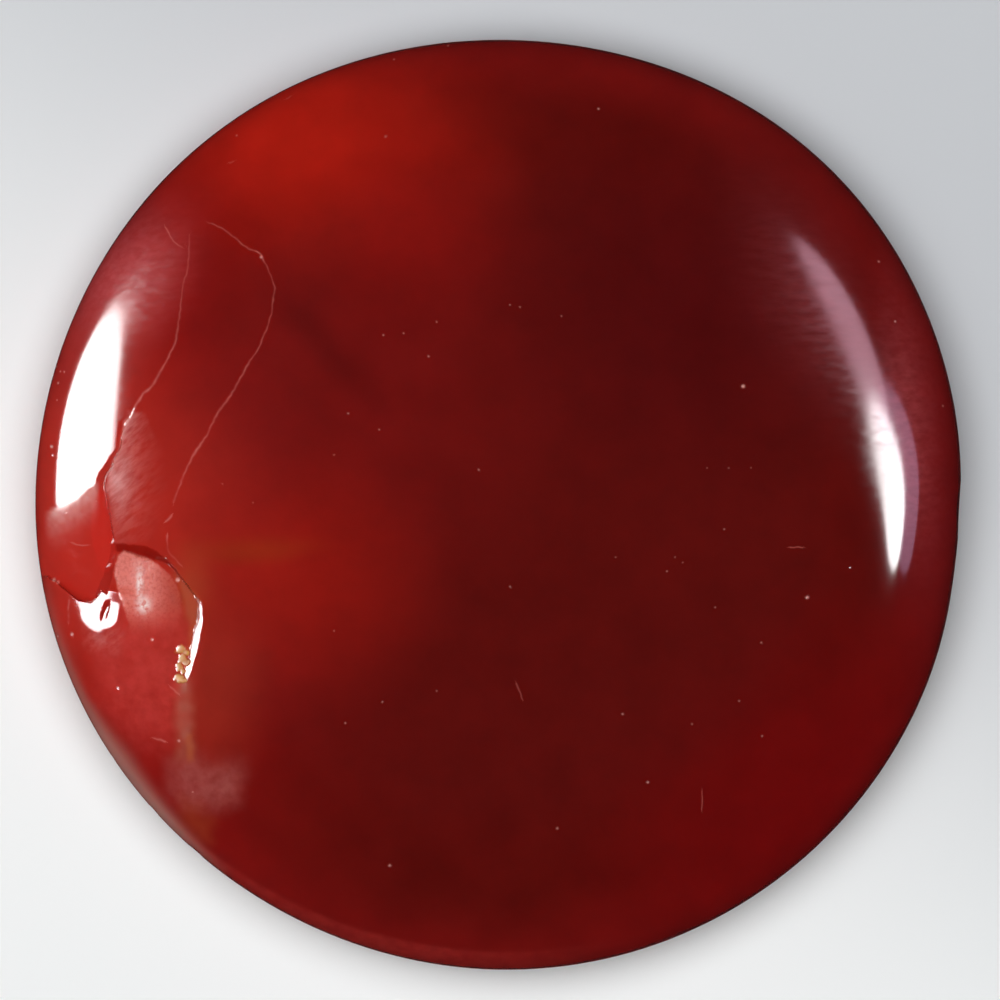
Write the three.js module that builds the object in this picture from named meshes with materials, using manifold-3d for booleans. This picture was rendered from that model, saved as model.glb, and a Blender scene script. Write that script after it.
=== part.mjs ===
// Red onyx agate cabochon: one round, low-domed stone that lies on its flat ground back.
// Millimetres, +Z up. Seen from above, +X is to the right and +Y is towards the top of the stone.
import * as THREE from "three";
import { mergeVertices } from "three/addons/utils/BufferGeometryUtils.js";
import Module from "manifold-3d";

// Driving dimensions of the whole stone
const DIAMETER = 30; // mean width across the girdle, its widest line
const HEIGHT = 6; // flat back to the top of the dome
const GIRDLE_HEIGHT = 2; // height of the girdle above the back
const CROWN_POWER = 2.5; // 2 is a plain ellipse, and more is flatter on top with a rounder shoulder
const GIRDLE_ROLL = 0.14; // how far the side rolls in below the girdle
const BEVEL = 0.55; // width and height of the chamfer ground round the back

// The outline was ground by hand: long waves on a circle, each with the angle of one of its crests,
// and a stretch on the right where it is ground flatter, fading out on both sides
const OUTLINE_WAVES = [
  { perTurn: 2, size: 0.02, peakDeg: -74 },
  { perTurn: 3, size: 0.066, peakDeg: 44 },
  { perTurn: 4, size: 0.042, peakDeg: 36.5 },
  { perTurn: 5, size: 0.022, peakDeg: -23 },
];
const FLAT_STRETCH = { atDeg: -6, halfWidthDeg: 11, depth: 0.12 };

// The broken corner on the left: a thin plate has come away along two steep walls. Its floor is
// the dome's own curve, slipped outwards and down, so it runs out to nothing towards the rim.
const CHIP_SLIP = { x: -1.05, y: -0.5, z: -0.55 };
const CHIP_WALL = [
  // the brow of the wall from the left, down to the end of the ledge, and how far in its foot lies
  { x: -14.4, y: -1.36, width: 0.1 },
  { x: -13.2, y: -1.34, width: 0.15 },
  { x: -12.37, y: -1.3, width: 0.3 },
  { x: -11.4, y: -1.36, width: 0.22 },
  { x: -10.76, y: -1.79, width: 0.42 },
  { x: -10.2, y: -2.5, width: 0.36 },
  { x: -9.7, y: -3.15, width: 0.46 },
  { x: -9.57, y: -4.0, width: 0.36 },
  { x: -9.82, y: -5.15, width: 0.28 },
  { x: -10.12, y: -6.35, width: 0.22 },
  { x: -10.42, y: -7.8, width: 0.16 },
];
const CHIP_OPEN_SIDE = [
  // back to the start, where the floor has already run out
  { x: -11.6, y: -8.9 },
  { x: -15.2, y: -6 },
  { x: -15.6, y: -2.4 },
];
const CHIP_MIDDLE = { x: -12.4, y: -4.4, lowZ: 1.4 }; // inside the chip, in plan and deep below it
const WALL_REACH = 0.35; // share of the wall by which its cutter passes the brow and the foot

// Smooth scoops and small bites: middle, length, width and depth, with the length turned from +Y
const FROSTED_DISH = { x: -11.5, y: -2.9, length: 3.2, width: 2.4, depth: 0.46, turnDeg: -28 };
const SCOOPS = [
  { x: -13.3, y: -2.05, length: 1.6, width: 2.2, depth: 0.24, turnDeg: 8 }, // foot of the wedge
  { x: -12.93, y: -0.6, length: 2.9, width: 0.66, depth: 0.22, turnDeg: -6 }, // wedge, to its tip
  { x: -12.4, y: 1.5, length: 2.1, width: 0.2, depth: 0.1, turnDeg: -18 }, // open end of a crack
  { x: -12.78, y: -3.5, length: 0.46, width: 0.3, depth: 0.16, turnDeg: -30 }, // pin-sized pit
  { x: 14.86, y: -0.25, length: 1.75, width: 0.6, depth: 0.12, turnDeg: 0 }, // nick, right rim
  { x: -9.86, y: -11.26, length: 0.5, width: 0.4, depth: 0.1, turnDeg: 41 }, // nick, lower rim
  { x: -11.2, y: -9.9, length: 0.35, width: 0.3, depth: 0.08, turnDeg: 48 }, // nick, lower rim
  { x: -7.25, y: 13.15, length: 0.3, width: 0.25, depth: 0.08, turnDeg: 61 }, // nick, upper rim
];
const SCOOP_REACH = 3; // half height of the ellipsoid that cuts a scoop, in depths of the scoop

// How finely the curves are faceted
const SEGMENTS = 113; // odd, so that the middle of the back lies inside a facet
const DOME_RINGS = 22;
const ROLL_RINGS = 2;
const WALL_STEPS = 30;
const SCOOP_FACETS = { around: 24, down: 14 };
const WELD = 1e-4; // vertices closer than this are one

const RADIUS = DIAMETER / 2;
const DOME_HEIGHT = HEIGHT - GIRDLE_HEIGHT;
const { degToRad } = THREE.MathUtils;

const wasm = await Module();
wasm.setup();

// Radius of the girdle at an angle measured anticlockwise from +X.
function outlineRadius(angle) {
  const wave = ({ perTurn, size, peakDeg }) =>
    size * Math.cos(perTurn * (angle - degToRad(peakDeg)));
  const waves = OUTLINE_WAVES.reduce((sum, each) => sum + wave(each), 0);
  const turned = angle - degToRad(FLAT_STRETCH.atDeg);
  const away = Math.atan2(Math.sin(turned), Math.cos(turned));
  const flat = Math.exp(-((away / degToRad(FLAT_STRETCH.halfWidthDeg)) ** 2));
  return RADIUS + waves - FLAT_STRETCH.depth * flat;
}

// Height of the unbroken dome over a point.
function domeHeight(x, y) {
  const share = Math.min(Math.hypot(x, y) / outlineRadius(Math.atan2(y, x)), 1);
  return GIRDLE_HEIGHT + DOME_HEIGHT * (1 - share ** CROWN_POWER) ** (1 / CROWN_POWER);
}

// Outward direction of the dome over a point, from the height a little to each side.
function domeNormal(x, y) {
  const step = 0.01;
  const riseX = (domeHeight(x + step, y) - domeHeight(x - step, y)) / (2 * step);
  const riseY = (domeHeight(x, y + step) - domeHeight(x, y - step)) / (2 * step);
  return new THREE.Vector3(-riseX, -riseY, 1).normalize();
}

// A geometry from a flat list of coordinates and a flat list of the faces' corners.
function polyhedron(positions, faces) {
  const geometry = new THREE.BufferGeometry();
  geometry.setAttribute("position", new THREE.Float32BufferAttribute(positions, 3));
  geometry.setIndex(faces);
  return geometry;
}

// The rings of the stone from the top down: a share of the outline's radius, an inset and a height.
function rings() {
  const list = [];
  for (let i = 1; i <= DOME_RINGS; i++) {
    const t = (i / DOME_RINGS) * (Math.PI / 2);
    const share = Math.sin(t) ** (2 / CROWN_POWER);
    const rise = Math.max(Math.cos(t), 0) ** (2 / CROWN_POWER);
    list.push({ share, inset: 0, z: GIRDLE_HEIGHT + DOME_HEIGHT * rise });
  }
  for (let i = 1; i <= ROLL_RINGS; i++) {
    const t = i / ROLL_RINGS;
    const z = GIRDLE_HEIGHT + t * (BEVEL - GIRDLE_HEIGHT);
    list.push({ share: 1, inset: GIRDLE_ROLL * t * t, z });
  }
  list.push({ share: 1, inset: GIRDLE_ROLL + BEVEL, z: 0 });
  return list;
}

// The whole unbroken stone: rings of facets from the top of the dome to the flat back.
function wholeStone() {
  const positions = [0, 0, HEIGHT];
  const faces = [];
  const all = rings();
  for (const { share, inset, z } of all)
    for (let k = 0; k < SEGMENTS; k++) {
      const angle = (k / SEGMENTS) * 2 * Math.PI;
      const r = outlineRadius(angle) * share - inset;
      positions.push(r * Math.cos(angle), r * Math.sin(angle), z);
    }
  const at = (ring, k) => 1 + ring * SEGMENTS + (k % SEGMENTS);
  for (let k = 0; k < SEGMENTS; k++) {
    faces.push(0, at(0, k), at(0, k + 1));
    for (let ring = 0; ring + 1 < all.length; ring++) {
      faces.push(at(ring, k), at(ring + 1, k), at(ring + 1, k + 1));
      faces.push(at(ring, k), at(ring + 1, k + 1), at(ring, k + 1));
    }
  }
  const last = all.length - 1;
  for (let k = 1; k + 1 < SEGMENTS; k++) faces.push(at(last, 0), at(last, k + 1), at(last, k));
  return polyhedron(positions, faces);
}

// Height of the chip's floor over a point.
function floorHeight(x, y) {
  return domeHeight(x - CHIP_SLIP.x, y - CHIP_SLIP.y) + CHIP_SLIP.z;
}

// The chip's outline as pairs of points, one above the stone and one below the chip's floor. The
// line between them is the wall: it passes through the brow on the dome and the foot on the floor.
function chipOutline() {
  const knots = CHIP_WALL.map(({ x, y, width }) => new THREE.Vector3(x, y, width));
  const curve = new THREE.CatmullRomCurve3(knots);
  const pairs = [];
  for (let i = 0; i <= WALL_STEPS; i++) {
    const { x, y, z: width } = curve.getPoint(i / WALL_STEPS);
    const along = curve.getTangent(i / WALL_STEPS).setZ(0).normalize();
    const brow = new THREE.Vector3(x, y, domeHeight(x, y));
    const foot = new THREE.Vector3(x + along.y * width, y - along.x * width, 0);
    foot.z = floorHeight(foot.x, foot.y);
    const slope = brow.clone().sub(foot).multiplyScalar(WALL_REACH);
    pairs.push({ above: brow.add(slope), below: foot.sub(slope) });
  }
  for (const { x, y } of CHIP_OPEN_SIDE)
    pairs.push({
      above: new THREE.Vector3(x, y, HEIGHT),
      below: new THREE.Vector3(x, y, CHIP_MIDDLE.lowZ),
    });
  return pairs;
}

// Everything inside the chip's walls, from well below its floor to well above the stone.
function chipBlock() {
  const pairs = chipOutline();
  const middle = CHIP_MIDDLE;
  const positions = [middle.x, middle.y, 2 * HEIGHT, middle.x, middle.y, middle.lowZ];
  const faces = [];
  for (const { above, below } of pairs) positions.push(...above, ...below);
  for (let i = 0; i < pairs.length; i++) {
    const [above, below] = [2 + 2 * i, 3 + 2 * i];
    const next = 2 + 2 * ((i + 1) % pairs.length);
    faces.push(0, next, above, 1, below, next + 1);
    faces.push(above, next, below, next, next + 1, below);
  }
  return polyhedron(positions, faces);
}

// An ellipsoid that stands over the dome and dips into it by the scoop's depth.
function scoopCutter({ x, y, length, width, depth, turnDeg }) {
  const reach = depth * SCOOP_REACH;
  const spread = Math.sqrt(1 - (1 - depth / reach) ** 2);
  const cutter = new THREE.SphereGeometry(1, SCOOP_FACETS.around, SCOOP_FACETS.down);
  cutter.scale(width / 2 / spread, length / 2 / spread, reach);
  cutter.rotateZ(degToRad(turnDeg));
  const normal = domeNormal(x, y);
  const lean = new THREE.Quaternion().setFromUnitVectors(new THREE.Vector3(0, 0, 1), normal);
  cutter.applyQuaternion(lean);
  const middle = normal.multiplyScalar(reach - depth);
  return cutter.translate(x + middle.x, y + middle.y, domeHeight(x, y) + middle.z);
}

// A closed geometry as a solid that can be cut.
function solidOf(geometry) {
  const bare = geometry.clone();
  bare.deleteAttribute("normal");
  bare.deleteAttribute("uv");
  const merged = mergeVertices(bare, WELD);
  return new wasm.Manifold(
    new wasm.Mesh({
      numProp: 3,
      vertProperties: new Float32Array(merged.attributes.position.array),
      triVerts: new Uint32Array(merged.index.array),
    }),
  );
}

// A solid back as a flat-shaded geometry.
function geometryOf(solid) {
  const mesh = solid.getMesh();
  const geometry = new THREE.BufferGeometry();
  geometry.setAttribute("position", new THREE.BufferAttribute(mesh.vertProperties, 3));
  geometry.setIndex(new THREE.BufferAttribute(mesh.triVerts, 1));
  const facets = geometry.toNonIndexed();
  facets.computeVertexNormals();
  return facets;
}

// What the broken plate took: the block inside the walls, down to the slipped and dished floor.
function chipCutter(whole) {
  const slipped = whole.clone().translate(CHIP_SLIP.x, CHIP_SLIP.y, CHIP_SLIP.z);
  const floor = solidOf(slipped).subtract(solidOf(scoopCutter(FROSTED_DISH)));
  return solidOf(chipBlock()).subtract(floor);
}

// The stone as it is: the whole form, less the broken plate, the scoops and the nicks.
function brokenStone() {
  const whole = wholeStone();
  let stone = solidOf(whole).subtract(chipCutter(whole));
  for (const scoop of SCOOPS) stone = stone.subtract(solidOf(scoopCutter(scoop)));
  return geometryOf(stone);
}

const polishedAgate = new THREE.MeshStandardMaterial({
  name: "polished red agate",
  color: "#6b1010",
  roughness: 0.12,
  metalness: 0,
});
const stone = new THREE.Mesh(brokenStone(), polishedAgate);
stone.name = "cabochon";

// The part's origin is the middle of the stone's own width and depth, on the flat back.
const middle = new THREE.Box3().setFromObject(stone).getCenter(new THREE.Vector3());
stone.position.set(-middle.x, -middle.y, 0);

const part = new THREE.Group();
part.name = "red_agate_cabochon";
part.add(stone);

export default part;
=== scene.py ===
# Red onyx agate cabochon: a round, polished, translucent stone that lies on its flat back,
# with an old broken corner and two healed cracks on its left shoulder.
# Blender's own lengths are metres. The marks are given in millimetres from the dome's middle,
# with x to the right and y towards the top of the picture.
import math

import bpy
import numpy as np
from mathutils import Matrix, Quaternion, Vector


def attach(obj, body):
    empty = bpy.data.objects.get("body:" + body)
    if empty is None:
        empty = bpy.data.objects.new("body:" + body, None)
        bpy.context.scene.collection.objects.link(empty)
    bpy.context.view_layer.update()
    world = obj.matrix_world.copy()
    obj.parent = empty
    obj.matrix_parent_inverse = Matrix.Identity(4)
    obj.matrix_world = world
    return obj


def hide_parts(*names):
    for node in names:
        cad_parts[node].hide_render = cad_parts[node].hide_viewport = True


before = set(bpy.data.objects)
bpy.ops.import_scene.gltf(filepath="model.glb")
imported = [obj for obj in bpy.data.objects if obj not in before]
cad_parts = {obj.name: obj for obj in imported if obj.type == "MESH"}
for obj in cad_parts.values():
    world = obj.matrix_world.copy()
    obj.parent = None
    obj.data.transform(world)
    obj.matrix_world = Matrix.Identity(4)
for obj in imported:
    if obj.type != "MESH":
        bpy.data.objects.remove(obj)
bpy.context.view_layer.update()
nodeName = "cabochon"
mm = 0.001


def srgb(code):  # "#rrggbb" to the linear colour that a shader needs
    channels = [int(code[i:i + 2], 16) / 255 for i in (1, 3, 5)]
    linear = [c / 12.92 if c <= 0.04045 else ((c + 0.055) / 1.055) ** 2.4 for c in channels]
    return (*linear, 1.0)


def addNode(tree, kind, inputs=(), output=0, **settings):  # one node with its settings, values and links
    node = tree.nodes.new(kind)
    for name, value in settings.items():
        setattr(node, name, value)
    for key, value in inputs.items() if isinstance(inputs, dict) else enumerate(inputs):
        if isinstance(value, bpy.types.NodeSocket):
            tree.links.new(value, node.inputs[key])
        else:
            node.inputs[key].default_value = value
    return node.outputs[output] if node.outputs else node


# The form of the stone: a low dome on a hand-ground outline, over a rolled side and a bevel

form = {
    "diameter": 30.0,  # millimetres, the mean width across the girdle
    "height": 6.0,
    "girdleHeight": 2.0,
    "crownPower": 2.5,  # 2 is a plain ellipse, and more is flatter on top
    "girdleRoll": 0.14,  # how far the side rolls in below the girdle
    "bevel": 0.55,
    "weld": 0.0005,  # points closer than this are merged, on top, on the back and along the seam
    "segments": 220,
    "rings": 84,
    "waves": [  # waves in one turn, size, and the angle of one crest
        (2, 0.020, -74.0),
        (3, 0.066, 44.0),
        (4, 0.042, 36.5),
        (5, 0.022, -23.0),
    ],
    "flatAt": -6.0,  # degrees, the middle of the flatter stretch of the outline
    "flatHalfWidth": 11.0,
    "flatDepth": 0.12,
}
ringShares = {"dome": 0.76, "side": 0.86, "bevel": 0.90, "back": 1.0}  # where each stretch of the rings ends


def buildFormTree(spec):
    tree = bpy.data.node_groups.new("cabochonForm", "GeometryNodeTree")
    values = {}
    for name, kind, value in (
            ("Diameter", "Float", spec["diameter"] * mm),
            ("Height", "Float", spec["height"] * mm),
            ("Girdle Height", "Float", spec["girdleHeight"] * mm),
            ("Crown Power", "Float", spec["crownPower"]),
            ("Girdle Roll", "Float", spec["girdleRoll"] * mm),
            ("Bevel", "Float", spec["bevel"] * mm),
            ("Flat Angle", "Float", math.radians(spec["flatAt"])),
            ("Flat Half Width", "Float", math.radians(spec["flatHalfWidth"])),
            ("Flat Depth", "Float", spec["flatDepth"] * mm),
            ("Segments", "Int", spec["segments"]),
            ("Rings", "Int", spec["rings"]),
            ("Material", "Material", spec["material"])):
        socket = tree.interface.new_socket(name=name, in_out="INPUT", socket_type="NodeSocket" + kind)
        values[socket.identifier] = value
    tree.interface.new_socket(name="Geometry", in_out="OUTPUT", socket_type="NodeSocketGeometry")
    known = {socket.name: socket for socket in tree.nodes.new("NodeGroupInput").outputs}

    # a flat grid: once round the stone along X, and from the top of the dome to the back along Y
    grid = addNode(tree, "GeometryNodeMeshGrid", {
        "Size X": 1.0, "Size Y": 1.0, "Vertices X": known["Segments"], "Vertices Y": known["Rings"]})
    place = addNode(tree, "GeometryNodeInputPosition")
    place = addNode(tree, "ShaderNodeSeparateXYZ", [place]).node.outputs
    known["around"] = addNode(tree, "ShaderNodeMath", [place["X"], 0.5], operation="ADD")
    down = addNode(tree, "ShaderNodeMath", [place["Y"], 0.5], operation="ADD")
    start = 0.0
    for name, end in ringShares.items():  # each stretch rises from 0 at its start to 1 at its end
        known[name] = addNode(tree, "ShaderNodeMapRange", {"Value": down, "From Min": start, "From Max": end})
        start = end

    waves = []
    for perTurn, size, crest in spec["waves"]:
        waves += [
            ("phase", "SUBTRACT", "angle", math.radians(crest)),
            ("phase", "MULTIPLY", "phase", float(perTurn)), ("wave", "COSINE", "phase"),
            ("wave", "MULTIPLY", "wave", size * mm), ("radius", "ADD", "radius", "wave")]
    for name, operation, *terms in (
            # the outline's radius at each angle, with its waves and its flatter stretch
            ("angle", "MULTIPLY", "around", 2 * math.pi), ("radius", "MULTIPLY", "Diameter", 0.5), *waves,
            ("away", "SUBTRACT", "angle", "Flat Angle"),
            ("sine", "SINE", "away"), ("cosine", "COSINE", "away"),
            ("away", "ARCTAN2", "sine", "cosine"), ("away", "DIVIDE", "away", "Flat Half Width"),
            ("away", "ABSOLUTE", "away"), ("away", "POWER", "away", 2.0), ("away", "MULTIPLY", "away", -1.0),
            ("flat", "EXPONENT", "away"), ("flat", "MULTIPLY", "flat", "Flat Depth"),
            ("radius", "SUBTRACT", "radius", "flat"),
            # a superellipse dome
            ("power", "DIVIDE", 2.0, "Crown Power"), ("tilt", "MULTIPLY", "dome", math.pi / 2),
            ("share", "SINE", "tilt"), ("share", "POWER", "share", "power"),
            ("rise", "COSINE", "tilt"), ("rise", "MAXIMUM", "rise", 0.0), ("rise", "POWER", "rise", "power"),
            # the side rolls in, then come the bevel and the flat back
            ("inset", "MULTIPLY", "side", "side"), ("inset", "MULTIPLY", "inset", "Girdle Roll"),
            ("bevelled", "MULTIPLY", "bevel", "Bevel"), ("inset", "ADD", "inset", "bevelled"),
            ("reach", "MULTIPLY", "radius", "share"), ("reach", "SUBTRACT", "reach", "inset"),
            ("open", "SUBTRACT", 1.0, "back"), ("reach", "MULTIPLY", "reach", "open"),
            ("up", "SUBTRACT", "Height", "Girdle Height"), ("up", "MULTIPLY", "up", "rise"),
            ("up", "ADD", "up", "Girdle Height"), ("drop", "SUBTRACT", "Girdle Height", "Bevel"),
            ("drop", "MULTIPLY", "side", "drop"), ("up", "SUBTRACT", "up", "drop"),
            ("up", "SUBTRACT", "up", "bevelled"), ("cosine", "COSINE", "angle"), ("sine", "SINE", "angle"),
            ("x", "MULTIPLY", "reach", "cosine"), ("y", "MULTIPLY", "reach", "sine")):
        terms = [known.get(term, term) for term in terms]
        known[name] = addNode(tree, "ShaderNodeMath", terms, operation=operation)

    point = addNode(tree, "ShaderNodeCombineXYZ", [known["x"], known["y"], known["up"]])
    stone = addNode(tree, "GeometryNodeSetPosition", {"Geometry": grid, "Position": point})
    stone = addNode(tree, "GeometryNodeFlipFaces", {"Mesh": stone})  # the grid's own faces end up inwards
    stone = addNode(tree, "GeometryNodeMergeByDistance", {"Geometry": stone, "Distance": spec["weld"] * mm})
    stone = addNode(tree, "GeometryNodeTriangulate", {"Mesh": stone})
    stone = addNode(tree, "GeometryNodeRealizeInstances", {"Geometry": stone})
    stone = addNode(tree, "GeometryNodeSetMaterial", {"Geometry": stone, "Material": known["Material"]})
    addNode(tree, "NodeGroupOutput", {"Geometry": stone})
    return tree, values


def buildForm(spec):
    tree, values = buildFormTree(spec)
    carrier = bpy.data.objects.new("formCarrier", bpy.data.meshes.new("formCarrier"))
    bpy.context.scene.collection.objects.link(carrier)
    modifier = carrier.modifiers.new("form", "NODES")
    modifier.node_group = tree
    for identifier, value in values.items():
        modifier[identifier] = value
    evaluated = carrier.evaluated_get(bpy.context.evaluated_depsgraph_get())
    mesh = bpy.data.meshes.new_from_object(evaluated)
    bpy.data.objects.remove(carrier)
    return mesh


# The same dome as numbers, for placing new vertices and the marks

domeRise = form["height"] - form["girdleHeight"]
crown = form["crownPower"]


def outlineRadius(angle):
    radius = form["diameter"] / 2 + 0 * angle
    for perTurn, size, crest in form["waves"]:
        radius = radius + size * np.cos(perTurn * (angle - math.radians(crest)))
    away = angle - math.radians(form["flatAt"])
    away = np.arctan2(np.sin(away), np.cos(away)) / math.radians(form["flatHalfWidth"])
    return radius - form["flatDepth"] * np.exp(-away ** 2)


def domeShare(plan):  # 0 in the middle of the dome and 1 on the girdle
    return np.clip(np.hypot(*plan.T) / outlineRadius(np.arctan2(plan[:, 1], plan[:, 0])), 0, 1)


def domeHeight(plan):
    return form["girdleHeight"] + domeRise * (1 - domeShare(plan) ** crown) ** (1 / crown)


def middleOnDome(a, b):  # the point of the dome halfway between two others
    turnA, turnB = np.arctan2(a[:, 1], a[:, 0]), np.arctan2(b[:, 1], b[:, 0])
    shareA, shareB = domeShare(a[:, :2]), domeShare(b[:, :2])
    tiltA, tiltB = np.arcsin(shareA ** (crown / 2)), np.arcsin(shareB ** (crown / 2))
    turn = np.arctan2(shareA * np.sin(turnA) + shareB * np.sin(turnB),
                      shareA * np.cos(turnA) + shareB * np.cos(turnB))
    tilt = (tiltA + tiltB) / 2
    reach = outlineRadius(turn) * np.sin(tilt) ** (2 / crown)
    height = form["girdleHeight"] + domeRise * np.cos(tilt).clip(0) ** (2 / crown)
    return np.column_stack([reach * np.cos(turn), reach * np.sin(turn), height])


# Small tools for the marks

def smoothStep(low, high, value):
    t = np.clip((value - low) / (high - low), 0, 1)
    return t * t * (3 - 2 * t)


def grain(plan, size, seed):  # a smooth random value from -1 to 1, in bumps of about that size
    q = plan / size + seed * 7.31  # this and the numbers in corner() only have to be uneven
    cell = np.floor(q)
    f = q - cell
    f = f * f * (3 - 2 * f)

    def corner(dx, dy):
        h = np.sin((cell[:, 0] + dx) * 127.1 + (cell[:, 1] + dy) * 311.7) * 4375.85
        return 2 * (h - np.floor(h)) - 1

    low = corner(0, 0) * (1 - f[:, 0]) + corner(1, 0) * f[:, 0]
    high = corner(0, 1) * (1 - f[:, 0]) + corner(1, 1) * f[:, 0]
    return low * (1 - f[:, 1]) + high * f[:, 1]


def smoothLine(knots, perSpan=8):  # a curve through the knots, whatever numbers each one holds
    k = np.array(knots, float)
    k = np.vstack([2 * k[0] - k[1], k, 2 * k[-1] - k[-2]])
    points = []
    for i in range(1, len(k) - 2):
        for t in np.linspace(0, 1, perSpan, endpoint=False):
            points.append(0.5 * (2 * k[i] + (k[i + 1] - k[i - 1]) * t
                                 + (2 * k[i - 1] - 5 * k[i] + 4 * k[i + 1] - k[i + 2]) * t ** 2
                                 + (3 * k[i] - k[i - 1] - 3 * k[i + 1] + k[i + 2]) * t ** 3))
    points.append(k[-2])
    return np.array(points)


def nearLine(plan, line):  # distance to a line, how far along it from 0 to 1, the side, and the way to it
    best = np.full(len(plan), np.inf)
    along = np.zeros(len(plan))
    side = np.zeros(len(plan))
    toLine = np.zeros((len(plan), 2))
    steps = np.hypot(*np.diff(line[:, :2], axis=0).T)
    starts = np.concatenate([[0], np.cumsum(steps)])
    for i, length in enumerate(steps):
        a, d = line[i, :2], line[i + 1, :2] - line[i, :2]
        t = np.clip(((plan - a) @ d) / length ** 2, 0, 1)
        off = plan - a - t[:, None] * d
        distance = np.hypot(*off.T)
        closer = distance < best
        best[closer] = distance[closer]
        along[closer] = (starts[i] + t[closer] * length) / starts[-1]
        side[closer] = np.sign(d[0] * off[closer, 1] - d[1] * off[closer, 0])
        toLine[closer] = -off[closer]
    return best, along, side, toLine


def inside(plan, corners):
    found = np.zeros(len(plan), bool)
    for (x0, y0), (x1, y1) in zip(corners, np.roll(corners, -1, axis=0)):
        spans = (y0 > plan[:, 1]) != (y1 > plan[:, 1])
        with np.errstate(divide="ignore", invalid="ignore"):
            crossing = x0 + (plan[:, 1] - y0) * (x1 - x0) / (y1 - y0)
        found ^= spans & (plan[:, 0] < crossing)
    return found


def depthInside(plan, corners):  # how far inside a closed outline a point is, below 0 outside it
    closed = np.vstack([corners, corners[:1]])
    distance = nearLine(plan, closed)[0]
    return np.where(inside(plan, corners), distance, -distance)


def ovalReach(plan, spec):  # 0 in the middle of an oval and 1 on its edge; its length is turned from +y
    turn = math.radians(spec["turn"])
    x, y = plan[:, 0] - spec["at"][0], plan[:, 1] - spec["at"][1]
    across = x * math.cos(turn) + y * math.sin(turn)
    along = -x * math.sin(turn) + y * math.cos(turn)
    return np.hypot(across / (spec["width"] / 2), along / (spec["length"] / 2))


# The broken corner: a thin plate has come away along two steep walls, and its floor runs out
# to nothing towards the rim

chip = {
    "brow": [  # along the top edge of the wall: x, y and the width of the wall below it
        (-14.40, -1.36, 0.10), (-13.20, -1.34, 0.15), (-12.37, -1.30, 0.30), (-11.92, -1.33, 0.30),
        (-11.41, -1.38, 0.24), (-11.05, -1.55, 0.30), (-10.76, -1.79, 0.40), (-10.44, -2.12, 0.28),
        (-10.10, -2.55, 0.10), (-9.78, -2.98, 0.06), (-9.61, -3.24, 0.03), (-9.575, -3.46, 0.06),
        (-9.57, -3.78, 0.11), (-9.61, -4.11, 0.17), (-9.69, -4.43, 0.18), (-9.76, -4.75, 0.17),
        (-9.84, -5.07, 0.18), (-9.94, -5.39, 0.22), (-10.06, -5.72, 0.16), (-10.18, -6.30, 0.20),
        (-10.34, -7.20, 0.28), (-10.42, -7.80, 0.28),
    ],
    "openSide": [(-11.6, -8.9), (-15.2, -6.0), (-15.6, -2.4)],
    "slip": (-1.05, -0.50, -0.49),  # the floor is the dome's own curve, moved by this much
    "lift": (-11.4, -12.4, 0.20),  # and lifted towards the rim, between these two places
    "liftBelow": (-2.6, -3.1),
    "fade": (-4.8, -5.95),  # and it runs out towards its lower end
    "facet": (-2.95, -3.25, 0.45),  # between these two heights the wall becomes a plain facet of this slope
    "step": 0.05,  # over a step that is this wide, seen from above
    "wallPower": 1.5,  # above 1 the wall starts gently and gets steeper towards its foot
    "bumps": (0.5, 0.006),  # the floor's faint bumps: their size and height
    "ragged": (0.16, 0.022),  # the brow strays to and fro in bends of this size, by this much
    "crispBrow": (-2.2, -5.7),  # the stretches where these three edges are kept crisp
    "crispFoot": (-2.4, -5.8),
    "crispStep": (-3.2, -5.8),
}
browLine = smoothLine(chip["brow"])
chipOutline = np.vstack([browLine[:, :2], chip["openSide"]])
browWay = np.gradient(browLine[:, :2], axis=0)
browWay /= np.linalg.norm(browWay, axis=1)[:, None]
intoChip = np.column_stack([browWay[:, 1], -browWay[:, 0]])
wallFoot = browLine[:, :2] + browLine[:, 2:] * intoChip
stepFoot = wallFoot + chip["step"] * intoChip


def crispPart(line, high, low):
    return line[(browLine[:, 1] < high) & (browLine[:, 1] > low), :2]


crispBrow = crispPart(browLine, *chip["crispBrow"])
wallFoot = crispPart(wallFoot, *chip["crispFoot"])
stepFoot = crispPart(stepFoot, *chip["crispStep"])

frostedLobe = {  # a shallow frosted hollow in the floor, close below the wall
    "outline": [
        (-12.30, -2.82), (-12.42, -2.40), (-12.40, -1.98), (-12.31, -1.72), (-12.11, -1.53), (-11.92, -1.50),
        (-11.70, -1.56), (-11.47, -1.72), (-11.21, -1.82), (-10.92, -2.04), (-10.66, -2.27), (-10.47, -2.49),
        (-10.31, -2.88), (-10.24, -3.33), (-10.34, -3.94), (-10.73, -4.59), (-11.37, -4.91), (-11.80, -4.59),
        (-12.00, -3.80),
    ],
    "depth": 0.05,
    "slope": 0.5,  # how far in from its outline it reaches that depth
    "fade": (-4.8, -3.4),  # it gets shallower between these heights
}

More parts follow.
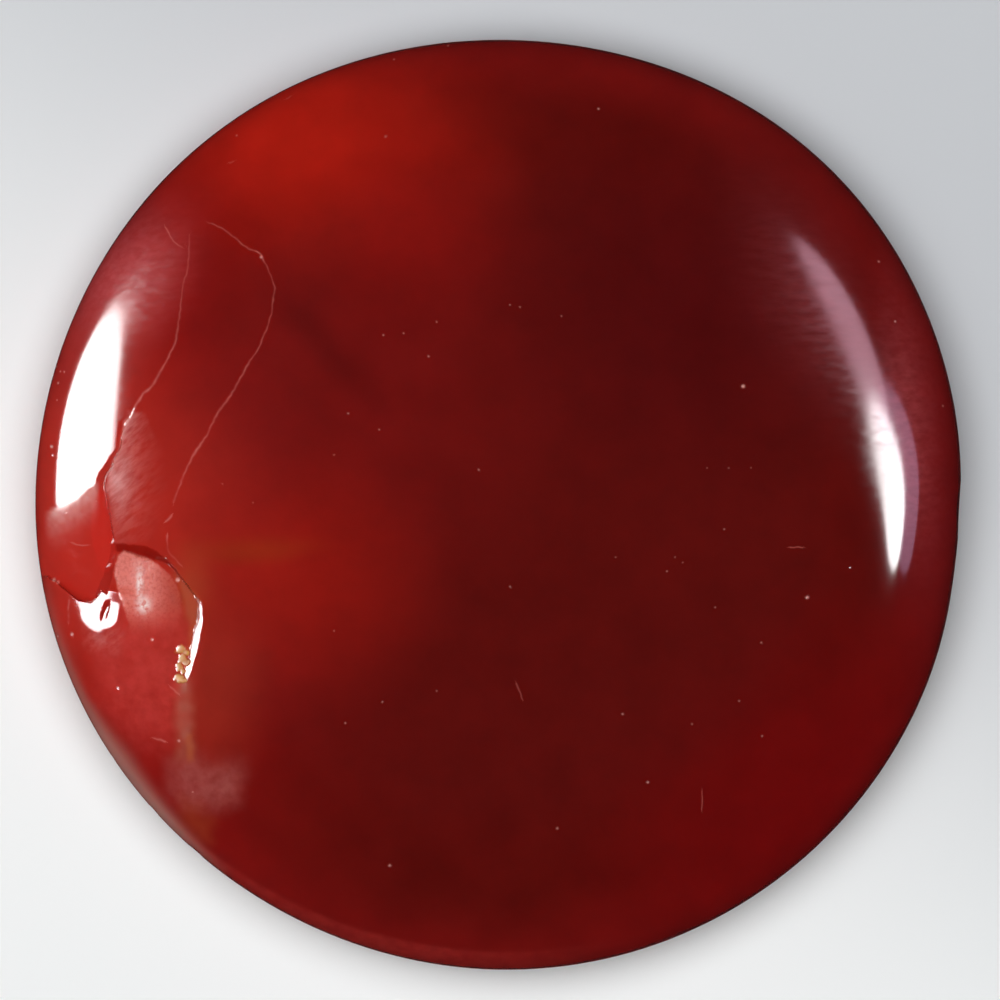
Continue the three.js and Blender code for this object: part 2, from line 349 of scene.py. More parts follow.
wedge = {  # a second scar beside it, which sinks away from the dome below a slanting line
    "top": [
        (-15.00, -0.45), (-14.31, -0.13), (-14.02, 0.02), (-13.63, 0.22), (-13.24, 0.50), (-12.98, 0.66),
        (-12.79, 0.76), (-12.30, 0.78),
    ],
    "bottom": [
        (-15.00, -2.20), (-14.31, -2.59), (-14.02, -2.82), (-13.60, -3.18), (-13.18, -3.24), (-13.02, -3.14),
        (-12.82, -2.88), (-12.63, -3.01), (-12.57, -2.80), (-12.30, -2.60),
    ],
    "crest": [  # the top of the steep wall on its right, from the bottom up
        (-12.73, -3.24), (-12.57, -2.75), (-12.48, -2.30), (-12.40, -1.91), (-12.34, -1.59), (-12.37, -1.27),
        (-12.46, -0.88), (-12.51, -0.43), (-12.57, -0.17), (-12.62, 0.08), (-12.69, 0.41), (-12.72, 0.66),
    ],
    "fall": 0.26,  # how steeply it leaves the dome, and by how much less with each millimetre
    "easing": 0.18,
    "rounding": 0.12,  # how softly it starts to
    "step": 0.05,  # the width, seen from above, of the step at its bottom
    "wall": [  # the height in the picture, and the width of its wall there
        (-2.8, 0.37), (-2.4, 0.29), (-2.0, 0.26), (-1.6, 0.20), (-1.3, 0.17), (-1.15, 0.05)],
    "rimShare": (0.965, 0.035),  # it returns to the dome from this share of the radius, over this much
    "stray": (0.25, 0.30, 0.03),  # its lines stray in bends of these sizes, across and up, by this much
    "footPoints": (-1.0, -3.1, 85),  # the foot of its wall is followed between these heights, in 85 points
}

rift = {  # the open crack: its left side has sunk higher up, and lower down it follows the wall's crest
    "line": [  # x, y, how far the left side has sunk, and the height of the lip on its right
        (-11.70, 3.15, 0.0, 0.0), (-11.92, 2.73, 0.02, 0.005), (-12.08, 2.40, 0.04, 0.012),
        (-12.17, 2.05, 0.06, 0.020), (-12.22, 1.70, 0.07, 0.028), (-12.42, 1.36, 0.07, 0.030),
        (-12.52, 1.05, 0.07, 0.032), (-12.67, 0.79, 0.07, 0.032), (-12.72, 0.60, 0.06, 0.032),
        (-12.69, 0.41, 0.04, 0.034), (-12.62, 0.08, 0.0, 0.034), (-12.57, -0.17, 0.0, 0.034),
        (-12.51, -0.43, 0.0, 0.032), (-12.46, -0.88, 0.0, 0.030), (-12.37, -1.27, 0.0, 0.020),
        (-12.34, -1.59, 0.0, 0.0), (-12.40, -1.91, 0.0, 0.0), (-12.48, -2.30, 0.0, 0.0),
        (-12.57, -2.75, 0.0, 0.0)],
    "deepest": 0.07,
    "sunkWidth": [  # the height in the picture, and how wide the sunk side is there
        (0.7, 0.28), (1.2, 0.24), (1.7, 0.12), (2.1, 0.16), (2.5, 0.22), (3.1, 0.10)],
    "lipWidth": 0.24,
    "edge": 0.004,  # the line itself belongs to the lip up to this far from it
}

scoops = [  # smooth hollows, from the dome's own surface: a slit below the wedge
    {"at": (-12.69, -3.49), "length": 0.80, "width": 0.26, "depth": 0.06, "turn": -20},
]

swells = [  # and soft rises
    {"at": (-12.88, -4.19), "length": 2.57, "width": 1.27, "height": 0.016, "turn": 72},
    {"at": (-12.36, -3.86), "length": 1.37, "width": 1.13, "height": 0.067, "turn": -21},
]

rimNicks = [  # bites out of the girdle: the angle, length along the rim, height, depth
    {"angle": -0.9, "length": 1.80, "height": 1.4, "depth": 0.10},
    {"angle": -2.1, "length": 0.50, "height": 0.7, "depth": 0.05},
    {"angle": 228.8, "length": 0.60, "height": 1.0, "depth": 0.10},
    {"angle": 221.5, "length": 0.45, "height": 0.8, "depth": 0.08},
    {"angle": 213.5, "length": 0.30, "height": 0.6, "depth": 0.06},
    {"angle": 118.9, "length": 0.30, "height": 0.4, "depth": 0.05},
    {"angle": 164.0, "length": 0.32, "height": 0.35, "depth": 0.05},
    {"angle": 172.5, "length": 0.22, "height": 0.3, "depth": 0.04},
    {"angle": -10.8, "length": 0.25, "height": 0.3, "depth": 0.04},
]

# Cracks and scratches: how beaded each one is, and its line of x, y, half width and paleness from 0 to 1
cracks = [
    (0.5, [  # the left crack, which opens near the broken corner
        (-10.00, 8.60, 0.016, 0.15), (-10.02, 8.17, 0.018, 0.3), (-10.08, 7.46, 0.018, 0.35),
        (-10.21, 6.95, 0.018, 0.3), (-10.28, 6.34, 0.018, 0.3), (-10.34, 5.82, 0.018, 0.35),
        (-10.44, 5.21, 0.020, 0.45), (-10.66, 4.72, 0.020, 0.5), (-10.92, 4.21, 0.022, 0.6),
        (-11.18, 3.76, 0.024, 0.7), (-11.47, 3.50, 0.026, 0.75), (-11.70, 3.15, 0.028, 0.8),
        (-11.92, 2.73, 0.030, 0.9), (-12.08, 2.40, 0.034, 1.0), (-12.17, 2.05, 0.030, 0.9),
        (-12.22, 1.70, 0.036, 0.9), (-12.42, 1.36, 0.040, 1.0), (-12.52, 1.05, 0.030, 0.8),
        (-12.69, 0.79, 0.024, 0.6)]),
    (0.6, [  # the right crack
        (-9.42, 9.00, 0.016, 0.2), (-8.96, 8.82, 0.018, 0.45), (-8.54, 8.50, 0.018, 0.45),
        (-8.12, 8.17, 0.018, 0.5), (-7.76, 8.01, 0.022, 0.7), (-7.58, 7.70, 0.018, 0.5),
        (-7.44, 7.37, 0.016, 0.4), (-7.25, 6.88, 0.018, 0.5), (-7.31, 6.53, 0.018, 0.45),
        (-7.38, 6.01, 0.018, 0.45), (-7.54, 5.50, 0.018, 0.5), (-7.76, 4.98, 0.018, 0.5),
        (-8.09, 4.47, 0.020, 0.6), (-8.38, 3.95, 0.020, 0.6), (-8.63, 3.50, 0.022, 0.65),
        (-8.96, 3.05, 0.022, 0.65), (-9.21, 2.63, 0.020, 0.6), (-9.41, 2.21, 0.020, 0.6),
        (-9.66, 1.82, 0.026, 0.85), (-9.92, 1.41, 0.024, 0.7), (-10.21, 0.79, 0.020, 0.55),
        (-10.41, 0.28, 0.022, 0.6), (-10.50, 0.02, 0.022, 0.5)]),
    (0.4, [(-10.57, -0.42, 0.030, 0.9), (-10.74, -0.60, 0.026, 0.9)]),
    (0.9, [  # and its last traces down to the broken corner
        (-10.70, -1.05, 0.024, 0.8), (-10.70, -1.30, 0.018, 0.4), (-10.66, -1.55, 0.024, 0.5),
        (-10.41, -1.85, 0.022, 0.5), (-10.24, -2.04, 0.022, 0.6)]),
    (0.4, [  # a short one at their upper end
        (-10.76, 8.85, 0.020, 0.7), (-10.63, 8.59, 0.018, 0.55), (-10.50, 8.37, 0.018, 0.6),
        (-10.24, 8.20, 0.015, 0.2)]),
    (0.2, [(-12.34, 4.85, 0.014, 0.2), (-12.73, 3.89, 0.012, 0.1)]),
    (0.2, [(-13.81, -1.28, 0.016, 0.6), (-13.60, -1.36, 0.018, 0.8), (-13.27, -1.36, 0.016, 0.6)]),
    (0.3, [(-11.15, -7.55, 0.022, 0.7), (-10.79, -7.68, 0.026, 0.8)]),
    (0.3, [(-10.60, -5.91, 0.020, 0.7), (-10.34, -6.14, 0.020, 0.8)]),
    (0.9, [(-13.89, -3.14, 0.024, 0.7), (-13.92, -3.85, 0.024, 0.7)]),
    (0.2, [(9.28, -1.43, 0.016, 0.5), (9.67, -1.43, 0.016, 0.5)]),
    (0.3, [(0.49, -5.78, 0.016, 0.35), (0.68, -6.30, 0.016, 0.35)]),
    (0.3, [(6.45, -9.26, 0.016, 0.4), (6.45, -9.84, 0.016, 0.4)]),
    (0.2, [(-6.90, 13.00, 0.016, 0.4), (-6.75, 13.08, 0.016, 0.4)]),
    (0.2, [(-8.72, 10.92, 0.016, 0.4), (-8.60, 10.97, 0.016, 0.4)]),
]

hairline = {
    "reach": 0.35,  # a vertex belongs to the nearest crack up to this far from it
    "wander": (0.14, 0.022),  # the lines stray in bends of this size, by this much
    "spread": 1.35,  # the pale line is a little wider than the crack
    "beadSize": 0.13,
    "fade": (0.13, 0.08),  # and ends between these distances from it
    "openDepth": 0.003,  # only the first crack has any depth
    "grooveWidth": 0.05,
}
farAway = 9.0  # any distance that is well out of reach

# Fine pits that the polish has left, and painted glints on the left rim and the broken edge, each with its
# half width and paleness
specks = [
    (7.77, 3.73, 0.055, 1.0), (9.83, -3.04, 0.050, 0.9), (-7.69, 7.88, 0.045, 0.9),
    (3.13, 12.65, 0.035, 0.7), (-3.77, 5.37, 0.030, 0.5), (-3.12, 5.43, 0.030, 0.5),
    (-2.32, 4.69, 0.035, 0.6), (-2.06, 5.79, 0.030, 0.5), (-4.90, 2.86, 0.030, 0.5),
    (-3.90, 2.34, 0.030, 0.4), (-5.35, 1.53, 0.030, 0.5), (-0.71, 1.05, 0.035, 0.5),
    (1.94, 5.98, 0.030, 0.5), (0.29, 6.34, 0.028, 0.4), (0.61, 6.27, 0.028, 0.4),
    (12.67, 5.82, 0.035, 0.7), (12.15, 7.75, 0.035, 0.7), (14.22, 3.11, 0.030, 0.5),
    (6.87, -3.36, 0.030, 0.4), (8.35, -4.49, 0.032, 0.5), (7.16, -0.85, 0.030, 0.4),
    (5.32, -2.20, 0.030, 0.4), (0.29, -2.69, 0.030, 0.4), (3.90, -6.78, 0.035, 0.5),
    (7.64, -6.36, 0.030, 0.4), (6.13, -7.10, 0.030, 0.4), (8.38, -7.49, 0.032, 0.4),
    (4.71, -8.97, 0.040, 0.6), (1.81, -10.45, 0.040, 0.5), (-5.35, -4.11, 0.030, 0.5),
    (-2.06, -6.04, 0.030, 0.4), (-4.99, -7.07, 0.032, 0.5), (-3.80, -6.39, 0.030, 0.4),
    (-3.57, -11.65, 0.045, 0.6), (-3.70, 11.75, 0.045, 0.3), (-3.44, 14.26, 0.030, 0.5),
    (-1.70, 14.71, 0.030, 0.5), (-8.50, 11.81, 0.030, 0.4), (3.68, -1.75, 0.026, 0.35),
    (5.58, -1.75, 0.026, 0.35), (5.83, -1.92, 0.026, 0.35), (11.22, -2.08, 0.030, 0.4),
    (6.61, 1.11, 0.026, 0.35), (7.30, 1.11, 0.026, 0.35), (8.02, 1.12, 0.026, 0.35),
    # on this line and the next three, the dots with x below -13.7 are painted glints on the left rim and the
    # broken edge
    (-14.25, 3.85, 0.035, 0.9), (-14.05, 4.21, 0.030, 0.8), (-14.18, 4.22, 0.028, 0.8),
    (-14.31, 4.38, 0.028, 0.7), (-14.45, 1.80, 0.050, 1.0), (-14.40, 1.52, 0.035, 0.6),
    (-14.28, 3.30, 0.028, 0.6), (-14.27, -4.30, 0.030, 0.8), (-13.79, -4.23, 0.050, 1.0),
    (-14.38, -2.48, 0.060, 1.0), (-14.25, -2.56, 0.050, 0.9), (-11.21, -4.40, 0.045, 0.8),
    (-12.31, -5.94, 0.040, 0.9), (-10.38, -2.48, 0.065, 1.0), (-10.34, -7.65, 0.045, 0.7),
    (-9.90, -9.30, 0.028, 0.5), (-8.93, 0.60, 0.026, 0.4), (-7.95, 0.00, 0.026, 0.4),
    (-13.97, -0.30, 0.026, 0.5), (-13.30, 0.20, 0.024, 0.4), (-13.00, 0.05, 0.022, 0.4),
]

crumbs = [  # pale yellow grains lodged at the foot of the wall: x, y and radius
    (-10.26, -4.72, 0.15), (-10.08, -4.82, 0.11), (-10.20, -5.02, 0.13), (-10.08, -5.14, 0.09),
    (-10.31, -5.27, 0.14), (-10.18, -5.42, 0.09), (-10.33, -5.62, 0.15), (-10.19, -5.72, 0.10),
]


# Refining: triangles are halved until they are small enough for the marks beside them

detail = {  # longest edge beside each kind of mark, how far from it that holds, and its growth beyond
    "lines": (0.085, 0.070, 0.70),
    "specks": (0.038, 0.040, 1.00),
    "wall": (0.060, 0.280, 0.45),
    "wedge": (0.055, 0.160, 0.45),
    "zone": (0.126, 0.400, 0.50),
    "nicks": (0.080, 0.500, 0.50),
}
coarsest = 0.9  # longest edge anywhere
sharpest = [(-12.72, -3.02), (-12.28, -2.80)]  # where the wedge, its wall and the broken corner's floor meet
slitWay = [(-12.9, -3.1), (-12.7, -3.9)]
scarred = {  # all the ground round the marks on the left shoulder
    "outline": [(-14.6, 2.8), (-10.6, 2.8), (-9.4, -2), (-9.0, -7.6), (-8.0, -8.2), (-8.0, -10.0),
                (-8.8, -10.9), (-11.6, -9.6), (-14.6, -4.6)],
    "x": (-14.4, -7.8, 0.4),
    "y": (-10.8, 3.0, 0.4),
}


def alongLine(line, step=0.1):
    points = np.array(line)[:, :2]
    out = []
    for a, b in zip(points[:-1], points[1:]):
        n = max(1, int(np.hypot(*(b - a)) / step))
        out += [a + (b - a) * i / n for i in range(n)]
    return out + [points[-1]]


def wedgeWall(y):
    return np.interp(y, *np.array(wedge["wall"]).T)


def wedgeFoot():
    crest = np.array(wedge["crest"])
    y = np.linspace(*wedge["footPoints"])
    return np.column_stack([np.interp(y, crest[:, 1], crest[:, 0]) - wedgeWall(y), y])


def markPoints():
    ground = np.array([(x, y) for x in np.arange(*scarred["x"]) for y in np.arange(*scarred["y"])])
    radius = form["diameter"] / 2
    nicks = []
    for nick in rimNicks:
        for turn in np.linspace(-0.5, 0.5, 7) * nick["length"] / radius + math.radians(nick["angle"]):
            nicks.append(np.array((radius * math.cos(turn), radius * math.sin(turn))))
    wedgeLines = (wedge["bottom"][1:], wedge["crest"], wedgeFoot(), slitWay, rift["line"])
    return {
        "lines": [p for _, line in cracks for p in alongLine(smoothLine([k[:2] for k in line]), 0.03)],
        "specks": [np.array(s[:2]) for s in specks + crumbs] + alongLine(sharpest, 0.05),
        "wall": alongLine(browLine) + alongLine(wallFoot),
        "wedge": [p for line in wedgeLines for p in alongLine(line)],
        "zone": ground[inside(ground, np.array(scarred["outline"]))],
        "nicks": nicks,
    }


def edgeMap(pitch=0.05, reachOut=15.6):  # the longest edge allowed at each place of a fine grid
    ticks = np.arange(-reachOut, reachOut, pitch)
    allowed = np.full((len(ticks), len(ticks)), coarsest)
    for kind, places in markPoints().items():
        size, reach, growth = detail[kind]
        far = int((reach + (coarsest - size) / growth) / pitch) + 1
        for x, y in places:
            i, j = int((x + reachOut) / pitch), int((y + reachOut) / pitch)
            across, up = slice(max(0, i - far), i + far), slice(max(0, j - far), j + far)
            distance = np.hypot(ticks[across][:, None] - x, ticks[up][None] - y)
            wanted = size + growth * np.maximum(0, distance - reach)
            allowed[across, up] = np.minimum(allowed[across, up], wanted)

    def lookUp(plan):
        i, j = np.clip(((plan + reachOut) / pitch).round().astype(int), 0, len(ticks) - 1).T
        return allowed[i, j]

    return lookUp


atRim = 1e-4  # how far below the girdle's height a vertex still counts as the dome's
aboveBevel = 0.6  # triangles lower down keep their size


def refine(points, corners, passes=9):
    longestAt = edgeMap()
    rim = form["girdleHeight"] - atRim
    for _ in range(passes):
        ends = np.sort(np.vstack([corners[:, [0, 1]], corners[:, [1, 2]], corners[:, [2, 0]]]), axis=1)
        keys, which = np.unique(ends[:, 0] * len(points) + ends[:, 1], return_inverse=True)
        edges = np.column_stack([keys // len(points), keys % len(points)])
        which = which.reshape(3, -1).T
        a, b = points[edges[:, 0]], points[edges[:, 1]]
        length = np.linalg.norm(a - b, axis=1)
        middle = (a + b) / 2
        split = (length > longestAt(middle[:, :2])) & (middle[:, 2] > aboveBevel)
        if not split.any():
            break
        for _ in range(3):  # a triangle that is cut at all is cut across its longest edge
            longest = which[np.arange(len(which)), np.argmax(length[which], axis=1)]
            split[longest[split[which].any(axis=1)]] = True
        fresh = np.full(len(edges), -1)
        fresh[split] = len(points) + np.arange(split.sum())
        added = (a[split] + b[split]) / 2
        onTop = (a[split][:, 2] >= rim) & (b[split][:, 2] >= rim)
        added[onTop] = middleOnDome(a[split][onTop], b[split][onTop])
        points = np.vstack([points, added])
        marks = fresh[which]
        cuts = (marks >= 0).sum(axis=1)
        pieces = [corners[cuts == 0]]
        for cut in (1, 2, 3):
            chosen = np.nonzero(cuts == cut)[0]
            if not len(chosen):
                continue
            c, m = corners[chosen], marks[chosen]
            if cut == 3:
                pieces += [np.column_stack(s) for s in (
                    (c[:, 0], m[:, 0], m[:, 2]), (m[:, 0], c[:, 1], m[:, 1]),
                    (m[:, 2], m[:, 1], c[:, 2]), (m[:, 0], m[:, 1], m[:, 2]))]
                continue
            # turn each triangle so that its cut edge comes first, or its whole edge comes last
            first = np.argmax(m >= 0, axis=1) if cut == 1 else (np.argmax(m < 0, axis=1) + 1) % 3
            order = (first[:, None] + np.arange(3)) % 3
            c, m = np.take_along_axis(c, order, 1), np.take_along_axis(m, order, 1)
            if cut == 1:
                pieces += [np.column_stack(s) for s in (
                    (c[:, 0], m[:, 0], c[:, 2]), (m[:, 0], c[:, 1], c[:, 2]))]
            else:
                pieces += [np.column_stack(s) for s in (
                    (m[:, 0], c[:, 1], m[:, 1]), (c[:, 0], m[:, 0], m[:, 1]), (c[:, 0], m[:, 1], c[:, 2]))]
        corners = np.vstack(pieces)
    return points, corners


# Shaping the marks into the refined surface, and the masks that the material reads

def chipStray(plan):
    size, most = chip["ragged"]
    return plan + most * np.column_stack([grain(plan, size, 1), grain(plan, size, 2)])


def wedgeStray(plan):
    across, up, most = wedge["stray"]
    return plan + most * np.column_stack([grain(plan, across, 5), grain(plan, up, 6)])


def snapToEdges(points, reach=0.028, margin=0.1):  # vertices close to a broken edge move onto it
    bottom = np.array(wedge["bottom"])
    onEdge = np.zeros(len(points), int)
    for number, (stray, line) in enumerate((
            (chipStray, stepFoot), (chipStray, wallFoot), (chipStray, crispBrow), (wedgeStray, bottom),
            (wedgeStray, bottom + (0, wedge["step"])), (wedgeStray, np.array(rift["line"])[:, :2]),
            (wedgeStray, wedgeFoot())), start=1):
        plan = points[:, :2]
        near = (plan > line.min(0) - margin).all(1) & (plan < line.max(0) + margin).all(1)
        near = np.nonzero(near & (points[:, 2] > form["girdleHeight"] + margin))[0]
        near = near[nearLine(stray(plan[near]), line)[0] < reach]
        for _ in range(3):
            points[near, :2] += nearLine(stray(points[near, :2]), line)[3]
        points[near, 2] = domeHeight(points[near, :2])
        onEdge[near] = number
    return onEdge


fades = {  # between which two values each painted mask starts or ends
    "browDown": (0, 0.02), "footDown": (1.15, 0.9), "wallDrop": (0.04, 0.10),
    "lobeEdge": (-0.02, 0.05), "lobeFromWall": (0.7, 1.0),
    "belowTop": (0.05, 0.5), "aboveBottom": (-0.02, 0.06),
    "fromCrest": (-0.02, 0.03), "pastCrest": (0.02, -0.03),
}


def sculptTop(plan):  # the height of the broken surface over each point of the dome
    whole = domeHeight(plan)
    height = whole.copy()
    masks = {}
    jagged = chipStray(plan)

    # the floor of the broken corner, its wall and the frosted hollow in it
    floor = domeHeight(plan - chip["slip"][:2]) + chip["slip"][2]
    floor = floor + chip["bumps"][1] * grain(plan, chip["bumps"][0], 3)
    lift = smoothStep(*chip["lift"][:2], plan[:, 0]) * smoothStep(*chip["liftBelow"], plan[:, 1])
    floor += chip["lift"][2] * lift
    floor = whole - (whole - floor) * (1 - smoothStep(*chip["fade"], plan[:, 1]))
    inLobe = depthInside(jagged, np.array(frostedLobe["outline"]))
    hollow = smoothStep(0, frostedLobe["slope"], inLobe) * smoothStep(*frostedLobe["fade"], plan[:, 1])
    low = floor - frostedLobe["depth"] * hollow
    distance, along, _, _ = nearLine(jagged, browLine)
    width = np.interp(along, np.linspace(0, 1, len(browLine)), browLine[:, 2])
    within = inside(jagged, chipOutline)
    down = np.clip(distance / width, 0, 1) ** chip["wallPower"]
    deep = (whole - low).clip(0.01)  # nothing is divided by 0
    facet = (chip["facet"][2] * np.minimum(distance, width) / deep).clip(0, 1)
    facet += (1 - facet) * np.clip((distance - width) / chip["step"], 0, 1)
    down += (facet - down) * smoothStep(*chip["facet"][:2], plan[:, 1])
    broken = whole + (low - whole) * down
    cut = within & (broken < whole)
    height[cut] = broken[cut]
    # the wall's mask, from which shade is painted on it
    masks["wall"] = within * smoothStep(*fades["browDown"], distance)
    masks["wall"] *= smoothStep(*fades["footDown"], distance / width)
    masks["wall"] *= smoothStep(*fades["wallDrop"], whole - floor)
    masks["lobe"] = smoothStep(*fades["lobeEdge"], inLobe) * within
    masks["lobe"] *= smoothStep(*fades["lobeFromWall"], distance / width)

    # the wedge beside it
    x, y = wedgeStray(plan).T
    below = np.interp(x, *np.array(wedge["top"]).T) - y
    above = y - np.interp(x, *np.array(wedge["bottom"]).T)
    crest = np.array(wedge["crest"])
    toCrest = np.interp(y, crest[:, 1], crest[:, 0]) - x
    started = np.hypot(below.clip(0), wedge["rounding"]) - wedge["rounding"]
    sunk = wedge["fall"] * (started - wedge["easing"] / 2 * below.clip(0) ** 2)
    nearRim = ((domeShare(plan) - wedge["rimShare"][0]) / wedge["rimShare"][1]).clip(0, 1)
    sunk = sunk * (1 - nearRim ** 3)
    share = np.clip(toCrest / wedgeWall(y), 0, 1) * np.clip(above / wedge["step"], 0, 1)
    height = height - (height - (whole - sunk)).clip(0) * share
    masks["wedge"] = smoothStep(*fades["belowTop"], below) * smoothStep(*fades["aboveBottom"], above)
    masks["wedge"] *= smoothStep(*fades["fromCrest"], toCrest) * (1 - nearRim)
    masks["wall"] *= smoothStep(*fades["pastCrest"], toCrest)
    masks["belowTop"] = np.where((above > 0) & (toCrest > 0), below, farAway)

    # the crack above it
    line = np.array(rift["line"])
    distance, along, side, _ = nearLine(wedgeStray(plan), line)
    steps = np.concatenate([[0], np.cumsum(np.hypot(*np.diff(line[:, :2], axis=0).T))])
    sunkWidth = np.interp(plan[:, 1], *np.array(rift["sunkWidth"]).T)
    left = np.interp(along, steps / steps[-1], line[:, 2]) * (1 - distance / sunkWidth).clip(0)
    lip = np.interp(along, steps / steps[-1], line[:, 3]) * np.exp(-distance / rift["lipWidth"])
    beyondEnds = (along <= 0) | (along >= 1)
    change = np.where((side < 0) & (distance > rift["edge"]), -left, lip)
    height = height + np.where(beyondEnds, 0, change)
    # the sunk side of the crack, from which shade is painted in it
    masks["gap"] = np.where((side < 0) & ~beyondEnds, left / rift["deepest"], 0)

    for scoop in scoops:
        reach = ovalReach(jagged, scoop)
        height = np.minimum(height, whole - scoop["depth"] * (1 - reach ** 2))
    for swell in swells:
        height = height + swell["height"] * (1 - ovalReach(plan, swell) ** 2).clip(0) ** 2
    return height, masks


patches = {  # stained and frosted ground, and three patches of painted light: how soft its edge is, how far that strays, its most, its outline
    "fan": (0.06, 0.05, 1, [
        (-12.00, 2.95), (-11.45, 2.85), (-10.80, 1.60), (-10.65, 0.30), (-10.85, -0.90), (-11.40, -1.30),
        (-12.38, -1.28), (-12.52, -0.50), (-12.70, 0.60), (-12.50, 1.25), (-12.20, 1.90)]),
    "sliver": (0.05, 0.0, 0.5, [
        (-12.79, 0.63), (-13.08, 0.08), (-13.15, -0.37), (-13.18, -0.88), (-13.11, -1.37), (-12.98, -1.85),
        (-12.79, -2.24), (-12.60, -2.24), (-12.34, -1.59), (-12.37, -1.27), (-12.47, -0.88),
        (-12.60, -0.17)]),
    # painted reflection: a rosy sheen on the smooth floor of the broken corner
    "rosy": (0.5, 0.1, 1, [
        (-12.44, -3.70), (-11.31, -3.14), (-10.18, -3.53), (-9.90, -4.43), (-10.00, -5.72), (-10.20, -7.33),
        (-10.60, -8.46), (-11.41, -8.40), (-12.22, -7.33), (-12.83, -6.04), (-12.96, -4.75)]),
    # painted highlight haze below the small highlight under the wedge
    "hazeBelowHighlight": (0.3, 0.1, 0.5, [
        (-13.44, -3.98), (-12.92, -4.17), (-12.40, -3.91), (-12.15, -4.17), (-12.28, -4.69), (-12.92, -4.81),
        (-13.37, -4.49)]),
    "ledge": (0.16, 0.05, 0.8, [
        (-10.47, -2.30), (-10.10, -2.50), (-9.75, -2.95), (-9.60, -3.35), (-9.66, -3.75), (-9.85, -4.30),
        (-9.90, -4.85), (-10.12, -4.90), (-10.00, -4.50), (-10.04, -3.90), (-10.22, -3.10)]),
    # painted reflection: the soft sheen of the rounded ridge below the wall
    "ridgeSheen": (0.22, 0.05, 1, [
        (-10.36, -5.65), (-9.96, -5.65), (-9.88, -6.60), (-9.86, -8.20), (-10.40, -8.25), (-10.42, -6.90)]),
    "cloud": (0.5, 0.2, 1, [
        (-10.60, -8.40), (-9.60, -8.28), (-8.55, -8.35), (-8.20, -8.90), (-8.50, -9.60), (-9.20, -9.85),
        (-10.10, -9.60), (-10.55, -9.10)]),
    "brown": (0.40, 0.1, 0.35, [
        (-10.30, -9.55), (-9.80, -9.75), (-9.30, -10.30), (-9.35, -10.90), (-9.80, -10.80),
        (-10.25, -10.20)]),
    "yellow": (0.10, 0.05, 0.8, [(-10.12, -7.40), (-9.90, -7.40), (-9.86, -8.30), (-10.08, -8.35)]),
}

wornZones = [  # where the polish is a little worn, so that its highlights end softly
    {"at": (10.6, 5.5), "length": 9.0, "width": 2.6, "turn": 26, "most": 1},
    {"at": (12.0, 2.4), "length": 5.0, "width": 1.6, "turn": 12, "most": 1},
    {"at": (-11.6, 7.0), "length": 5.0, "width": 2.6, "turn": -35, "most": 1},
    {"at": (-13.4, 2.6), "length": 14.0, "width": 4.4, "turn": 0, "most": 0.5},
]

paintedGlares = [  # painted glare: a faint pale haze painted on the polish beside the highlights
    {"at": (-12.1, 7.2), "length": 3.8, "width": 2.6, "turn": -35, "most": 0.50},
    {"at": (13.05, 2.4), "length": 7.0, "width": 1.6, "turn": 6, "most": 0.32},
    {"at": (10.1, 6.4), "length": 7.0, "width": 2.8, "turn": 26, "most": 0.14},
]


def patch(plan, name):
    soft, stray, most, outline = patches[name]
    bend = stray * 4 + 0.05  # an edge that strays further has larger bends
    moved = plan + stray * np.column_stack([grain(plan, bend, 21), grain(plan, bend, 22)])
    return most * smoothStep(-soft, soft, depthInside(moved, np.array(outline)))


def softOvals(plan, ovals):
    return np.maximum.reduce([one["most"] * np.exp(-ovalReach(plan, one) ** 2) for one in ovals])


def mottled(plan, swing, size, seed):  # an uneven amount, at most 1
    return 1 - swing + swing * grain(plan, size, seed)


def traceCracks(plan):  # how far across the nearest crack each vertex is, in half widths, and its paleness
    nearest = np.full(len(plan), hairline["reach"])
    across, strength, groove = np.full(len(plan), farAway), np.zeros(len(plan)), np.zeros(len(plan))
    margin = 0.4  # a little over that reach
    bend, wander = hairline["wander"]
    for number, (beads, knots) in enumerate(cracks):
        line = smoothLine(knots)
        low, high = line[:, :2].min(0) - margin, line[:, :2].max(0) + margin
        near = np.nonzero((plan > low).all(1) & (plan < high).all(1))[0]
        moved = wander * np.column_stack([grain(plan[near], bend, 15), grain(plan[near], bend, 16)])
        distance, along, side, _ = nearLine(plan[near] + moved, line)
        closer = distance < nearest[near]
        near, distance, along, side = near[closer], distance[closer], along[closer], side[closer]
        place = np.linspace(0, 1, len(line))
        nearest[near] = distance
        across[near] = side * distance / (hairline["spread"] * np.interp(along, place, line[:, 2]))
        strength[near] = np.interp(along, place, line[:, 3]) * smoothStep(*hairline["fade"], distance)
        strength[near] *= mottled(plan[near], beads / 2, hairline["beadSize"], 13)
        depth = hairline["openDepth"] if number == 0 else 0
        groove[near] = depth * np.exp(-(distance / hairline["grooveWidth"]) ** 2)
    return across, strength, groove


paint = {  # where the painted ground starts and ends: heights and places across in the picture, in mm
    "fan": {"wall": -12.35, "reach": 0.85, "up": (-2.2, 0.8)},  # its streaks pale away from the wall
    "hazyHighlight": {"start": (-0.05, 0.1), "reach": 0.75, "across": (-12.85, -13.1), "rim": (0.985, 0.955)},
    "hollow": {"up": (-4.4, -3.0), "across": (-10.4, -11.4), "least": 0.35},
    "glints": [  # painted glints on the frosted ground: its middle, and its half width and half length
        (-11.60, -2.60, 0.09, 0.50), (-11.48, -3.28, 0.20, 0.24)],
    # where the painted shade on the wall ends, and the painted shade in the gap and the slit
    "wallEnd": (-9.9, -10.6),
    "gap": (0.5, 1.0, 0.8),  # the last number of these two is their most
    "slit": (1.05, 0.8, 0.6),
    "ledgeGlow": {"at": (-9.95, -2.6), "squeeze": 0.6, "reach": 0.6, "most": 0.45},
    "rosyUp": (-8.9, -6.5),
    "crumb": (1.15, 0.70),
    "crumbStray": 0.05,
}
